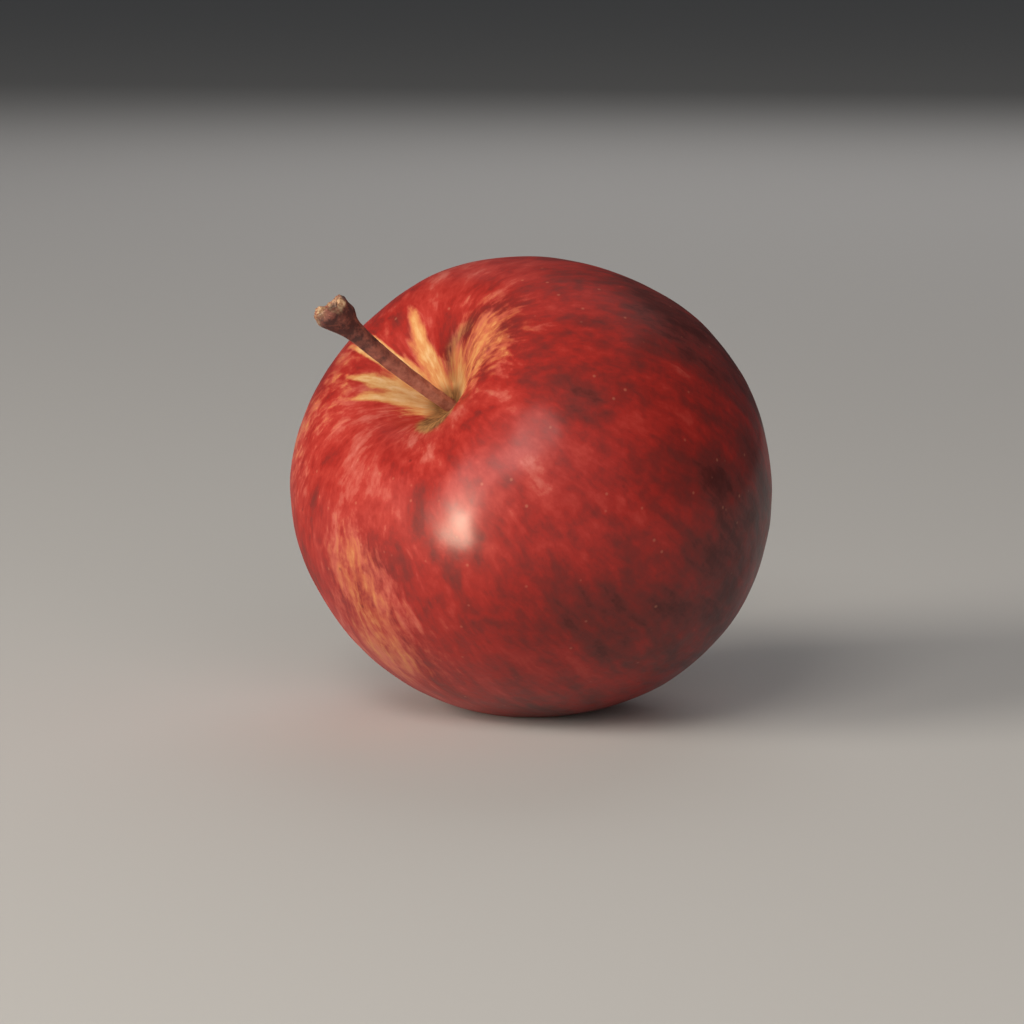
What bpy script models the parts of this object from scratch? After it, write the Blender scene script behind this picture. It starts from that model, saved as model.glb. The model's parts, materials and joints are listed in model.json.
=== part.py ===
"""A ripe dessert fruit lying on its side, as picked: the fleshy fruit, its woody stalk and its dried calyx.

Metres, +Z up. The row origin is the middle of the small flat spot that the fruit rests on. The three
pieces are modelled round the fruit's own axis, with +Z towards the stalk and the middle of the flesh at
zero, and an empty leans that axis over into the resting place.
"""

import math

import bmesh
import bpy
from mathutils import Matrix, Vector

MM = 0.001

# Resting place: where the middle of the flesh is, how far the axis leans from upright, the heading it leans
# towards in plan, and the fruit's turn about its own axis
MIDDLE = Vector((0.3, 0.0, 34.55)) * MM
LEAN = math.radians(49.3)
HEADING = math.radians(-138.1)
TURN = math.radians(-22.9)

# Flesh: a rounded body that is a little wider towards the stalk and a little oval
GIRTH_RADIUS = 37.5 * MM
SHOULDER_RISE = 35.0 * MM
SHOULDER_FULLNESS = 2.1
BASE_DROP = 36.0 * MM
BASE_FULLNESS = 2.0
TAPER = 0.05
OVAL = 0.054
OVAL_AZIMUTH = math.radians(110)

# Five lobes, as the five seed chambers give: each is a broad rib on the side and a rise on the shoulder
LOBE_AZIMUTHS = [math.radians(angle) for angle in (16, 89, 168, 236, 318)]
RIB_HEIGHTS = [height * MM for height in (1.2, 0.45, 0.85, 0.6, 0.6)]
SHOULDER_HEIGHTS = [height * MM for height in (0.6, 0.6, 0.5, 0.9, 0.35)]
LOBE_WIDTH = math.radians(24)
RIB_MIDDLE = -4 * MM
RIB_REACH = 26 * MM
SHOULDER_START = 12 * MM
SHOULDER_BLEND = 6 * MM
SHOULDER_RADIUS = 19 * MM
SHOULDER_REACH = 12 * MM

# Saddle in the near shoulder and the soft hump below it: height, azimuth, angle off the stalk end and reach
SWELLINGS = [
    (-2.4 * MM, math.radians(78), math.radians(18), 9 * MM),
    (1.8 * MM, math.radians(62), math.radians(62), 12 * MM),
]
SWELLING_RADIUS = 36 * MM

# Hollow round the stalk, and the shallower basin round the calyx
CAVITY_DEPTH = 12.2 * MM
CAVITY_WIDTH = 9 * MM
CAVITY_POINT = 1.6
BASIN_DEPTH = 6 * MM
BASIN_WIDTH = 7 * MM

# Stalk: its run from the cavity's floor to its torn end, and its thickness
STALK_RUN = Vector((2.7, -4.2, 26.5)) * MM
STALK_BOW = Vector((0.5, 0.5, 0.0)) * MM
STALK_RADIUS = 1.05 * MM
STALK_THICKENING = 0.6 * MM
KNOB_FLARE = 1.2 * MM
KNOB_LENGTH = 0.13
KNOB_OVAL = 0.12
END_SLOPE = 0.35
END_ROUGHNESS = 0.35 * MM
STALK_SIDES = 20
STALK_RINGS = 26
ROOT_DEPTH = 3 * MM

# Calyx: a small dry button with five curled sepals and a tuft of withered stamens
BUTTON_RADIUS = 2.6 * MM
BUTTON_HEIGHT = 0.5 * MM
SEAT_DEPTH = 1.0 * MM
SEPAL_COUNT = 5
SEPAL_LENGTH = 6.4 * MM
SEPAL_WIDTH = 2.9 * MM
SEPAL_TIP = 0.16
SEPAL_CUP = 0.25 * MM
SEPAL_THICKNESS = 0.7 * MM
SEPAL_START = 1.7 * MM
SEPAL_ROOT = 0.3 * MM
SEPAL_CURL = math.radians(98)
STAMEN_COUNT = 9
STAMEN_LENGTH = 3.0 * MM
STAMEN_RADIUS = 0.36 * MM
STAMEN_RING = 0.95 * MM
STAMEN_LEAN = math.radians(12)

# Clearance that touching pieces keep, and the meshes' fineness
GAP = 0.3 * MM
BUTTON_SIDES = 24
MERIDIANS = 72
PARALLELS = 50
SMOOTH_ANGLE = math.radians(40)


def clear_scene():
    """Remove whatever the scene holds at the start."""
    for thing in list(bpy.data.objects):
        bpy.data.objects.remove(thing, do_unlink=True)


def plain_material(name, colour, roughness):
    """Principled material of one colour."""
    material = bpy.data.materials.new(name)
    material.use_nodes = True
    shader = material.node_tree.nodes["Principled BSDF"]
    shader.inputs["Base Color"].default_value = (*colour, 1)
    shader.inputs["Roughness"].default_value = roughness
    shader.inputs["Metallic"].default_value = 0
    return material


def object_from(bm, name, parent, material=None):
    """Finish a bmesh as an object on the fruit's axis."""
    bmesh.ops.recalc_face_normals(bm, faces=bm.faces)
    mesh = bpy.data.meshes.new(name)
    bm.to_mesh(mesh)
    bm.free()
    mesh.shade_smooth()
    mesh.set_sharp_from_angle(angle=SMOOTH_ANGLE)
    if material:
        mesh.materials.append(material)
    thing = bpy.data.objects.new(name, mesh)
    thing.parent = parent
    bpy.context.scene.collection.objects.link(thing)
    return thing


def fruit_axis():
    """Empty that leans the fruit's own axis into its resting place."""
    axis = bpy.data.objects.new("fruit_axis", None)
    bpy.context.scene.collection.objects.link(axis)
    turn = Matrix.Rotation(HEADING, 4, "Z") @ Matrix.Rotation(LEAN, 4, "Y") @ Matrix.Rotation(TURN, 4, "Z")
    axis.matrix_world = Matrix.Translation(MIDDLE) @ turn
    return axis


def lobes(azimuth, heights):
    """Height that the five lobes add at an azimuth round the fruit's axis."""
    total = 0.0
    for centre, height in zip(LOBE_AZIMUTHS, heights):
        away = (azimuth - centre + math.pi) % math.tau - math.pi
        total += height * math.exp(-((away / LOBE_WIDTH) ** 2))
    return total


def swelling(point):
    """Height that the saddle and the hump add to a point of the skin."""
    total = 0.0
    for height, azimuth, polar, reach in SWELLINGS:
        outward = Vector((math.cos(azimuth), math.sin(azimuth), 0)) * math.sin(polar)
        outward.z = math.cos(polar)
        away = (point - outward * SWELLING_RADIUS).length
        total += height * math.exp(-((away / reach) ** 2))
    return total


def skin_point(polar, azimuth):
    """Point of the skin, from its angle off the stalk end and its azimuth round the axis."""
    upper = polar <= math.pi / 2
    rise = SHOULDER_RISE if upper else BASE_DROP
    fullness = SHOULDER_FULLNESS if upper else BASE_FULLNESS
    across = (abs(math.sin(polar)) / GIRTH_RADIUS) ** fullness
    along = (abs(math.cos(polar)) / rise) ** fullness
    reach = (across + along) ** (-1 / fullness)
    radius = reach * abs(math.sin(polar))
    height = reach * math.cos(polar)
    radius *= 1 + TAPER * height / GIRTH_RADIUS
    radius *= 1 + OVAL * math.cos(2 * (azimuth - OVAL_AZIMUTH))
    side = math.exp(-(((height - RIB_MIDDLE) / RIB_REACH) ** 2))
    radius *= 1 + side * lobes(azimuth, RIB_HEIGHTS) / GIRTH_RADIUS
    shoulder = math.exp(-(((radius - SHOULDER_RADIUS) / SHOULDER_REACH) ** 2))
    shoulder /= 1 + math.exp(-(height - SHOULDER_START) / SHOULDER_BLEND)
    height += shoulder * lobes(azimuth, SHOULDER_HEIGHTS)
    if upper:
        height -= CAVITY_DEPTH * math.exp(-((radius / CAVITY_WIDTH) ** CAVITY_POINT))
    else:
        height += BASIN_DEPTH * math.exp(-((radius / BASIN_WIDTH) ** 2))
    point = Vector((radius * math.cos(azimuth), radius * math.sin(azimuth), height))
    return point + point.normalized() * swelling(point)


def cut_flat_spot(bm, axis):
    """Slice off the lowest cap, so that the fruit lies on a small flat spot at the row origin."""
    to_fruit = axis.matrix_world.inverted()
    down = (to_fruit.to_3x3() @ Vector((0, 0, -1))).normalized()
    everything = bm.verts[:] + bm.edges[:] + bm.faces[:]
    bmesh.ops.bisect_plane(
        bm, geom=everything, dist=0.01 * MM, plane_co=to_fruit.translation, plane_no=down, clear_outer=True
    )
    rim = [edge for edge in bm.edges if edge.is_boundary]
    bmesh.ops.holes_fill(bm, edges=rim, sides=0)


def make_fruit(axis):
    """The flesh and its skin, one body, with the stalk's socket and the calyx's seat cut into it."""
    bm = bmesh.new()
    bmesh.ops.create_uvsphere(bm, u_segments=MERIDIANS, v_segments=PARALLELS, radius=1)
    for vertex in bm.verts:
        polar = math.acos(max(-1.0, min(1.0, vertex.co.z)))
        vertex.co = skin_point(polar, math.atan2(vertex.co.y, vertex.co.x))
    cut_flat_spot(bm, axis)
    fruit = object_from(bm, "fruit", axis, plain_material("red_skin", (0.42, 0.03, 0.02), 0.32))
    for cutter in (socket_cutter(axis), seat_cutter(axis)):
        cut = fruit.modifiers.new(cutter.name, "BOOLEAN")
        cut.operation = "DIFFERENCE"
        cut.object = cutter
        cut.solver = "EXACT"
    return fruit


def drum(radius, height, sides, middle):
    """Round drum about an upright axis, as a bmesh."""
    bm = bmesh.new()
    bmesh.ops.create_cone(
        bm, cap_ends=True, segments=sides, radius1=radius, radius2=radius, depth=height,
        matrix=Matrix.Translation(middle),
    )
    return bm


def hide_cutter(cutter):
    """Keep a cutter out of the render and draw it as wires."""
    cutter.hide_render = True
    cutter.display_type = "WIRE"
    return cutter


def stalk_centre(share):
    """Centreline of the stalk, from 0 at its root to 1 at its torn end."""
    floor = skin_point(0, 0)
    whole = STALK_RUN.length + ROOT_DEPTH
    along = share * whole / STALK_RUN.length - ROOT_DEPTH / STALK_RUN.length
    return floor + STALK_RUN * along + STALK_BOW * math.sin(math.pi * max(along, 0))


def stalk_radius(share, angle):
    """Radius of the stalk, which thickens slowly and flares into an oval knob at the torn end."""
    knob = math.exp(-(((1 - share) / KNOB_LENGTH) ** 2))
    radius = STALK_RADIUS + STALK_THICKENING * share**2 + KNOB_FLARE * knob
    return radius * (1 + KNOB_OVAL * knob * math.cos(2 * angle))


def socket_cutter(axis):
    """Plain round hole for the stalk's root, in line with it."""
    middle = stalk_centre(0)
    depth = 2 * ROOT_DEPTH + 2 * GAP
    bm = drum(STALK_RADIUS + GAP, depth, STALK_SIDES, Vector((0, 0, depth / 2 - GAP)))
    lean = STALK_RUN.to_track_quat("Z", "Y").to_matrix().to_4x4()
    bmesh.ops.transform(bm, matrix=Matrix.Translation(middle) @ lean, verts=bm.verts)
    return hide_cutter(object_from(bm, "stalk_socket_cutter", axis))


def seat_cutter(axis):
    """Shallow round seat for the calyx's button."""
    depth = 4 * SEAT_DEPTH
    bm = drum(BUTTON_RADIUS + GAP, depth, BUTTON_SIDES, Vector((0, 0, SEAT_DEPTH + GAP - depth / 2)))
    bmesh.ops.translate(bm, verts=bm.verts, vec=skin_point(math.pi, 0))
    return hide_cutter(object_from(bm, "calyx_seat_cutter", axis))


def make_stalk(axis):
    """Woody stalk: a bowed, thickening stem whose torn end slopes and is rough."""
    bm = bmesh.new()
    bmesh.ops.create_cone(
        bm, cap_ends=True, segments=STALK_SIDES, radius1=1, radius2=1, depth=1,
        matrix=Matrix.Translation((0, 0, 0.5)),
    )
    for ring in range(1, STALK_RINGS):
        # Rings stand closer together towards the flared end.
        height = (ring / STALK_RINGS) ** 0.7
        everything = bm.verts[:] + bm.edges[:] + bm.faces[:]
        bmesh.ops.bisect_plane(bm, geom=everything, plane_co=(0, 0, height), plane_no=(0, 0, 1))
    torn_end = max(bm.faces, key=lambda face: face.calc_center_median().z)
    for _ in range(2):
        bmesh.ops.inset_region(bm, faces=[torn_end], thickness=0.32)
    bmesh.ops.poke(bm, faces=[torn_end])
    lean = STALK_RUN.to_track_quat("Z", "Y").to_matrix()
    for vertex in bm.verts:
        share = vertex.co.z
        angle = math.atan2(vertex.co.y, vertex.co.x)
        inward = min(1.0, math.hypot(vertex.co.x, vertex.co.y))
        reach = stalk_radius(share, angle) * inward
        place = lean @ Vector((reach * math.cos(angle), reach * math.sin(angle), 0))
        if share > 1 - KNOB_LENGTH:
            near_end = (share - 1 + KNOB_LENGTH) / KNOB_LENGTH
            torn = END_ROUGHNESS * (math.sin(3 * angle + 1) + 0.6 * math.sin(7 * angle) - 1.5 * (1 - inward))
            slope = END_SLOPE * reach * math.cos(angle)
            place += lean @ Vector((0, 0, near_end * (torn + slope)))
        vertex.co = stalk_centre(share) + place
    return object_from(bm, "stalk", axis, plain_material("stalk_bark", (0.09, 0.03, 0.02), 0.75))


def sepal(azimuth):
    """Dry sepal, as a bmesh: a pointed, cupped blade that stands up from the button and curls outwards."""
    bm = bmesh.new()
    bmesh.ops.create_grid(bm, x_segments=4, y_segments=7, size=0.5)
    bmesh.ops.solidify(bm, geom=bm.faces[:], thickness=1)
    bend_radius = SEPAL_LENGTH / SEPAL_CURL
    for vertex in bm.verts:
        share = vertex.co.y + 0.5
        bend = SEPAL_CURL * share
        side = 2 * vertex.co.x
        width = SEPAL_WIDTH * (1 - (1 - SEPAL_TIP) * share**1.6)
        lift = vertex.co.z * SEPAL_THICKNESS - SEPAL_CUP * side**2 * (1 - share)
        out = SEPAL_START + bend_radius * (1 - math.cos(bend)) + lift * math.cos(bend)
        up = bend_radius * math.sin(bend) - lift * math.sin(bend) - SEPAL_ROOT
        vertex.co = (out, side * width / 2, up)
    bmesh.ops.transform(bm, matrix=Matrix.Rotation(azimuth, 4, "Z"), verts=bm.verts)
    return bm


def stamen(azimuth):
    """Withered stamen, as a bmesh: a slim four-sided spike rooted in the button."""
    bm = bmesh.new()
    bmesh.ops.create_cone(
        bm, cap_ends=True, segments=4, radius1=STAMEN_RADIUS, radius2=STAMEN_RADIUS / 2, depth=STAMEN_LENGTH,
        matrix=Matrix.Translation((0, 0, STAMEN_LENGTH / 2 - SEPAL_ROOT)),
    )
    place = Matrix.Rotation(azimuth, 4, "Z") @ Matrix.Translation((STAMEN_RING, 0, 0))
    bmesh.ops.transform(bm, matrix=place @ Matrix.Rotation(STAMEN_LEAN, 4, "Y"), verts=bm.verts)
    return bm


def fuse(thing, additions, axis):
    """Join additions to an object as one body, and remove them."""
    group = bpy.data.collections.new("additions")
    bpy.context.scene.collection.children.link(group)
    for number, bm in enumerate(additions):
        addition = object_from(bm, f"addition_{number}", axis)
        bpy.context.scene.collection.objects.unlink(addition)
        group.objects.link(addition)
    union = thing.modifiers.new("union", "BOOLEAN")
    union.operation = "UNION"
    union.operand_type = "COLLECTION"
    union.collection = group
    union.solver = "EXACT"
    joined = bpy.data.meshes.new_from_object(thing.evaluated_get(bpy.context.evaluated_depsgraph_get()))
    thing.modifiers.clear()
    thing.data = joined
    for addition in list(group.objects):
        bpy.data.objects.remove(addition, do_unlink=True)
    bpy.data.collections.remove(group)


def make_calyx(axis):
    """Dried calyx, seated in the basin and facing away from the stalk."""
    thick = BUTTON_HEIGHT + SEAT_DEPTH
    button = drum(BUTTON_RADIUS, thick, BUTTON_SIDES, Vector((0, 0, thick / 2 - SEAT_DEPTH)))
    blades = [sepal(math.tau * count / SEPAL_COUNT) for count in range(SEPAL_COUNT)]
    tuft = [stamen(math.tau * count / STAMEN_COUNT) for count in range(STAMEN_COUNT)]
    facing_out = Matrix.Translation(skin_point(math.pi, 0)) @ Matrix.Rotation(math.pi, 4, "X")
    for bm in [button, *blades, *tuft]:
        bmesh.ops.transform(bm, matrix=facing_out, verts=bm.verts)
    calyx = object_from(button, "calyx", axis, plain_material("dry_sepal", (0.13, 0.07, 0.035), 0.85))
    fuse(calyx, blades + tuft, axis)
    return calyx


def main():
    """Build the three pieces on the leaning axis."""
    clear_scene()
    axis = fruit_axis()
    bpy.context.view_layer.update()
    make_fruit(axis)
    make_stalk(axis)
    make_calyx(axis)


main()
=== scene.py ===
"""Looks for a ripe dessert fruit on its side: a streaked, waxed skin, a woody stalk and a dried calyx."""

import json
import logging
import math
from dataclasses import dataclass, field
from enum import Enum

import bmesh
import bpy
from bmesh.types import BMesh
from bpy.types import Material, Node, NodeSocket, NodeTree, Object
from mathutils import Matrix, Vector, noise

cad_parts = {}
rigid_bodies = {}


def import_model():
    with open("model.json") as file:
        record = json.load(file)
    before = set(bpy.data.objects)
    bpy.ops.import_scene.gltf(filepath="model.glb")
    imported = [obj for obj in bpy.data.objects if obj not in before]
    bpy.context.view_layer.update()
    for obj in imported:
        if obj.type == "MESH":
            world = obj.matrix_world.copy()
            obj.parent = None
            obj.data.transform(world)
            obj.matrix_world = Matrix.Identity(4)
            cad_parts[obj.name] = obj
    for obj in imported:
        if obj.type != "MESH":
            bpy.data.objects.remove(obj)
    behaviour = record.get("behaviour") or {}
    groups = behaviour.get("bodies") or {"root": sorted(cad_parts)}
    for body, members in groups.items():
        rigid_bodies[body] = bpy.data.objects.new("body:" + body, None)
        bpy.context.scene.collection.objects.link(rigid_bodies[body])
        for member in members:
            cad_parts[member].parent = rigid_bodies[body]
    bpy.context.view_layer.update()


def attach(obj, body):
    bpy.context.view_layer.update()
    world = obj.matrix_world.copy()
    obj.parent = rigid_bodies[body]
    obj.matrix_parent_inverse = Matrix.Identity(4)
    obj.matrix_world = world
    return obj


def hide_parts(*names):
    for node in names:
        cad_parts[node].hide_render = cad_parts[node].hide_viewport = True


MM = 0.001
log = logging.getLogger("fruit")


class Attribute(Enum):
    """Attributes that the meshes carry for their materials."""

    MERIDIAN = "meridian"
    TINTS = "tints"
    WAX = "wax"
    WEAR = "wear"


def linear(hex_colour: str) -> tuple[float, float, float, float]:
    """Turn an sRGB hex colour to linear.

    Args:
        hex_colour: six hex digits, with or without a leading hash.

    Returns:
        Linear red, green, blue and an alpha of one.
    """
    digits = hex_colour.lstrip("#")
    channels = [int(digits[at:at + 2], 16) / 255 for at in (0, 2, 4)]
    red, green, blue = [c / 12.92 if c <= 0.04045 else ((c + 0.055) / 1.055) ** 2.4 for c in channels]
    return red, green, blue, 1.0


def per_metre(size_mm: float) -> float:
    """Scale that gives a texture features of a real size, where its coordinates are in metres."""
    return 1000 / size_mm


def add(tree: NodeTree, kind: str, inputs: dict | None = None, **settings: object) -> Node:
    """Add one node with its settings and links.

    Args:
        tree: the node tree.
        kind: the node's Blender type.
        inputs: socket name or number, and the value or the output socket that it takes.
        settings: the node's own properties.

    Returns:
        The new node.
    """
    made = tree.nodes.new(kind)
    for name, value in settings.items():
        setattr(made, name, value)
    for name, value in (inputs or {}).items():
        if isinstance(value, NodeSocket):
            tree.links.new(value, made.inputs[name])
        else:
            made.inputs[name].default_value = value
    return made


def reader(tree: NodeTree, attribute: Attribute) -> Node:
    """Node that reads one of the mesh's own attributes."""
    return add(tree, "ShaderNodeAttribute", attribute_name=attribute.value)


def noise_at(tree: NodeTree, place: NodeSocket, size_mm: float, detail: float,
             roughness: float = 0.5) -> Node:
    """Noise texture with features of a real size.

    Args:
        tree: the node tree.
        place: the object coordinates, in metres.
        size_mm: size of the largest features.
        detail: number of finer octaves.
        roughness: strength of each finer octave.

    Returns:
        The texture's node.
    """
    return add(tree, "ShaderNodeTexNoise", {"Vector": place, "Scale": per_metre(size_mm), "Detail": detail,
                                            "Roughness": roughness})


def blank_material(name: str) -> tuple[Material, NodeTree, Node]:
    """Start a material.

    Args:
        name: the material's name.

    Returns:
        The material, its node tree and its Principled shader.
    """
    made = bpy.data.materials.new(name)
    made.use_nodes = True
    return made, made.node_tree, made.node_tree.nodes["Principled BSDF"]


def set_stops(ramp: Node, stops: list[tuple[float, str]]) -> None:
    """Give a colour ramp its stops.

    Args:
        ramp: the colour ramp node.
        stops: place and hex colour of each stop, in order.
    """
    elements = ramp.color_ramp.elements
    while len(elements) < len(stops):
        elements.new(1.0)
    for element, (place, colour) in zip(elements, stops):
        element.position = place
        element.color = linear(colour)


def blend(tree: NodeTree, share: object, first: object, second: object) -> NodeSocket:
    """Mix two colours.

    Args:
        tree: the node tree.
        share: share of the second colour, as a socket or a number.
        first: socket or colour that shows at share 0.
        second: socket or colour that shows at share 1.

    Returns:
        The mixed colour.
    """
    # A colour mix keeps its factor in socket 0, its colours in sockets 6 and 7 and its result in output 2.
    return add(tree, "ShaderNodeMix", {0: share, 6: first, 7: second}, data_type="RGBA").outputs[2]


def bump_from(tree: NodeTree, heights: list[tuple[object, float]]) -> NodeSocket:
    """Chain of bumps, one for each pattern.

    Args:
        tree: the node tree.
        heights: output socket of each pattern, and its height in millimetres.

    Returns:
        The last bump's normal.
    """
    normal = None
    for socket, height in heights:
        inputs = {"Height": socket, "Distance": height * MM, "Strength": 1.0}
        if normal:
            inputs["Normal"] = normal
        normal = add(tree, "ShaderNodeBump", inputs).outputs["Normal"]
    return normal


def finished(bm: BMesh, name: str, materials: list[Material]) -> Object:
    """Turn a bmesh into a smooth-shaded object at the origin.

    Args:
        bm: the finished shape, in the row frame. It is freed.
        name: the piece's name.
        materials: the piece's materials, in slot order.

    Returns:
        The linked object.
    """
    mesh = bpy.data.meshes.new(name)
    bm.to_mesh(mesh)
    bm.free()
    mesh.shade_smooth()
    for made in materials:
        mesh.materials.append(made)
    thing = bpy.data.objects.new(name, mesh)
    bpy.context.scene.collection.objects.link(thing)
    return thing


def rod(sides: int, cuts: int) -> BMesh:
    """Closed rod of radius 1 that stands from 0 to 1.

    Args:
        sides: facets round it.
        cuts: rings of points between its ends.

    Returns:
        The rod.
    """
    bm = bmesh.new()
    bmesh.ops.create_cone(bm, cap_ends=True, segments=sides, radius1=1, radius2=1, depth=1,
                          matrix=Matrix.Translation((0, 0, 0.5)))
    uprights = [edge for edge in bm.edges if abs(edge.verts[0].co.z - edge.verts[1].co.z) > 0.5]
    bmesh.ops.subdivide_edges(bm, edges=uprights, cuts=cuts, use_grid_fill=True)
    return bm


def angle_between(one: float, other: float) -> float:
    """Signed difference of two angles, from minus to plus half a turn."""
    return (one - other + math.pi) % math.tau - math.pi


def swell(away: float, width: float) -> float:
    """Smooth hump of height one at zero, which fades over the width."""
    return math.exp(-((away / width) ** 2))


def ease(value: float, low: float, high: float) -> float:
    """Smooth step from 0 at low to 1 at high."""
    share = min(1.0, max(0.0, (value - low) / (high - low)))
    return share * share * (3 - 2 * share)


@dataclass(frozen=True)
class Streaks:
    """Streaks of one size: their width at the girth, how many follow each other, and the noise's octaves."""

    width_mm: float
    along: float
    detail: float


@dataclass(frozen=True)
class Specks:
    """Round specks of one kind, and how much of the skin's own colour they cover."""

    spacing_mm: float
    radius_mm: float
    colour: str
    depth: float


@dataclass(frozen=True)
class Mix:
    """Weights of the skin's patterns and of the mesh's tint in one sum, and the sums that give 0 and 1."""

    low: float
    high: float
    patches: float = 0.0
    broad: float = 0.0
    fine: float = 0.0
    mottle: float = 0.0
    tint: float = 0.0


@dataclass(frozen=True)
class WaxedSkin:
    """Skin of a ripe fruit: living cells under natural wax.

    The wax gives a soft satin sheen with a clearer glint in it. Red lies in streaks over a yellow ground.
    The two roughness values are those of skin without wax, where the mottling is low and where it is high.
    Heights are in millimetres.
    """

    salmon: str = "#CB6A5A"
    amber: str = "#C8744C"
    ochre: str = "#D09058"
    straw: str = "#D8AA72"
    cream: str = "#E2C096"
    cherry: str = "#4C1B18"
    maroon: str = "#6A2824"
    wine: str = "#842621"
    crimson: str = "#9F2720"
    scarlet: str = "#B0372E"
    coral: str = "#BE584C"
    blush: str = "#CA7468"
    russet: str = "#A67648"
    russet_crack: str = "#654429"
    pores: Specks = Specks(3.6, 0.28, "#CC8468", 0.3)
    flecks: Specks = Specks(7.5, 0.34, "#4A1A16", 0.45)
    patches: Streaks = Streaks(13.0, 6.0, 4.0)
    broad_streaks: Streaks = Streaks(4.5, 7.0, 3.0)
    fine_streaks: Streaks = Streaks(1.3, 16.0, 3.0)
    mottle_mm: float = 2.2
    cell_mm: float = 0.9
    fine_height: float = 0.03
    mottle_height: float = 0.08
    cell_height: float = 0.03
    pore_height: float = 0.04
    drift_mm: float = 9.0
    drift_reach: tuple[float, float, float] = (0.1, 0.1, 0.06)
    red_mix: Mix = Mix(0.3, 0.9, patches=0.42, broad=0.38, fine=0.2, mottle=0.24, tint=-0.12)
    ground_mix: Mix = Mix(1.0, 2.15, patches=0.8, fine=0.8, mottle=0.4, tint=0.9)
    bare_mix: Mix = Mix(1.05, 1.45, broad=0.8, fine=0.5, mottle=0.4, tint=1.0)
    corky_mix: Mix = Mix(0.85, 1.5, fine=0.4, mottle=0.7, tint=1.0)
    crack_mix: Mix = Mix(0.4, 0.62, fine=0.4, mottle=0.6)
    roughness: tuple[float, float] = (0.69, 0.79)
    wax_smoothing: float = 0.25
    specular: float = 0.16
    ior: float = 1.45
    coat: float = 0.45
    coat_roughness: float = 0.25
    coat_ior: float = 1.5
    girth_radius_mm: float = 37.5

    def material(self) -> Material:
        """Build the skin's material.

        Returns:
            The material.
        """
        made, tree, shader = blank_material("waxed_fruit_skin")
        place = add(tree, "ShaderNodeTexCoord").outputs["Object"]
        meridian = self.wavering(tree, place)
        mottle = noise_at(tree, place, self.mottle_mm, 5.0, 0.65)
        patterns = {
            "patches": self.streaked(tree, meridian, self.patches),
            "broad": self.streaked(tree, meridian, self.broad_streaks),
            "fine": self.streaked(tree, meridian, self.fine_streaks),
            "mottle": mottle.outputs["Fac"],
        }
        skin, pores = self.coloured(tree, place, patterns)
        tree.links.new(skin, shader.inputs["Base Color"])
        self.wax(tree, shader, patterns["mottle"])
        cells = noise_at(tree, place, self.cell_mm, 3.0).outputs["Fac"]
        heights = [(patterns["fine"], self.fine_height), (patterns["mottle"], self.mottle_height),
                   (cells, self.cell_height), (pores, self.pore_height)]
        normal = bump_from(tree, heights)
        tree.links.new(normal, shader.inputs["Normal"])
        return made

    def wavering(self, tree: NodeTree, place: NodeSocket) -> NodeSocket:
        """The meridian attribute with a slow waver, so that no streak runs dead straight.

        Args:
            tree: the node tree.
            place: the object coordinates.

        Returns:
            The wavering meridian.
        """
        meridian = reader(tree, Attribute.MERIDIAN).outputs["Vector"]
        drift = noise_at(tree, place, self.drift_mm, 2.0)
        centred = add(tree, "ShaderNodeVectorMath", {0: drift.outputs["Color"], 1: (0.5, 0.5, 0.5)},
                      operation="SUBTRACT")
        return add(tree, "ShaderNodeVectorMath", {0: centred.outputs[0], 1: self.drift_reach, 2: meridian},
                   operation="MULTIPLY_ADD").outputs[0]

    def streaked(self, tree: NodeTree, meridian: NodeSocket, streaks: Streaks) -> NodeSocket:
        """Noise drawn out along the meridians.

        Args:
            tree: the node tree.
            meridian: the wavering meridian.
            streaks: the streaks' size.

        Returns:
            The noise's value.
        """
        across = self.girth_radius_mm / streaks.width_mm
        scale = (across, across, streaks.along)
        drawn = add(tree, "ShaderNodeMapping", {"Vector": meridian, "Scale": scale})
        return add(tree, "ShaderNodeTexNoise", {"Vector": drawn.outputs[0], "Scale": 1.0,
                                                "Detail": streaks.detail, "Roughness": 0.55,
                                                "Distortion": 0.15}).outputs["Fac"]

    def share_of(self, tree: NodeTree, mix: Mix, patterns: dict[str, NodeSocket],
                 tint: NodeSocket | None = None) -> NodeSocket:
        """Share from 0 to 1 out of a weighted sum of patterns.

        Args:
            tree: the node tree.
            mix: the weights and the sum's limits.
            patterns: each pattern's socket by its name.
            tint: the tint's socket, where the mix has one.

        Returns:
            The share, eased at both ends.
        """
        parts = [(socket, getattr(mix, name)) for name, socket in patterns.items()] + [(tint, mix.tint)]
        total = 0.0
        for socket, weight in parts:
            if weight:
                total = add(tree, "ShaderNodeMath", {0: socket, 1: weight, 2: total},
                            operation="MULTIPLY_ADD").outputs[0]
        return add(tree, "ShaderNodeMapRange", {"Value": total, "From Min": mix.low, "From Max": mix.high},
                   interpolation_type="SMOOTHSTEP").outputs["Result"]

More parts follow.
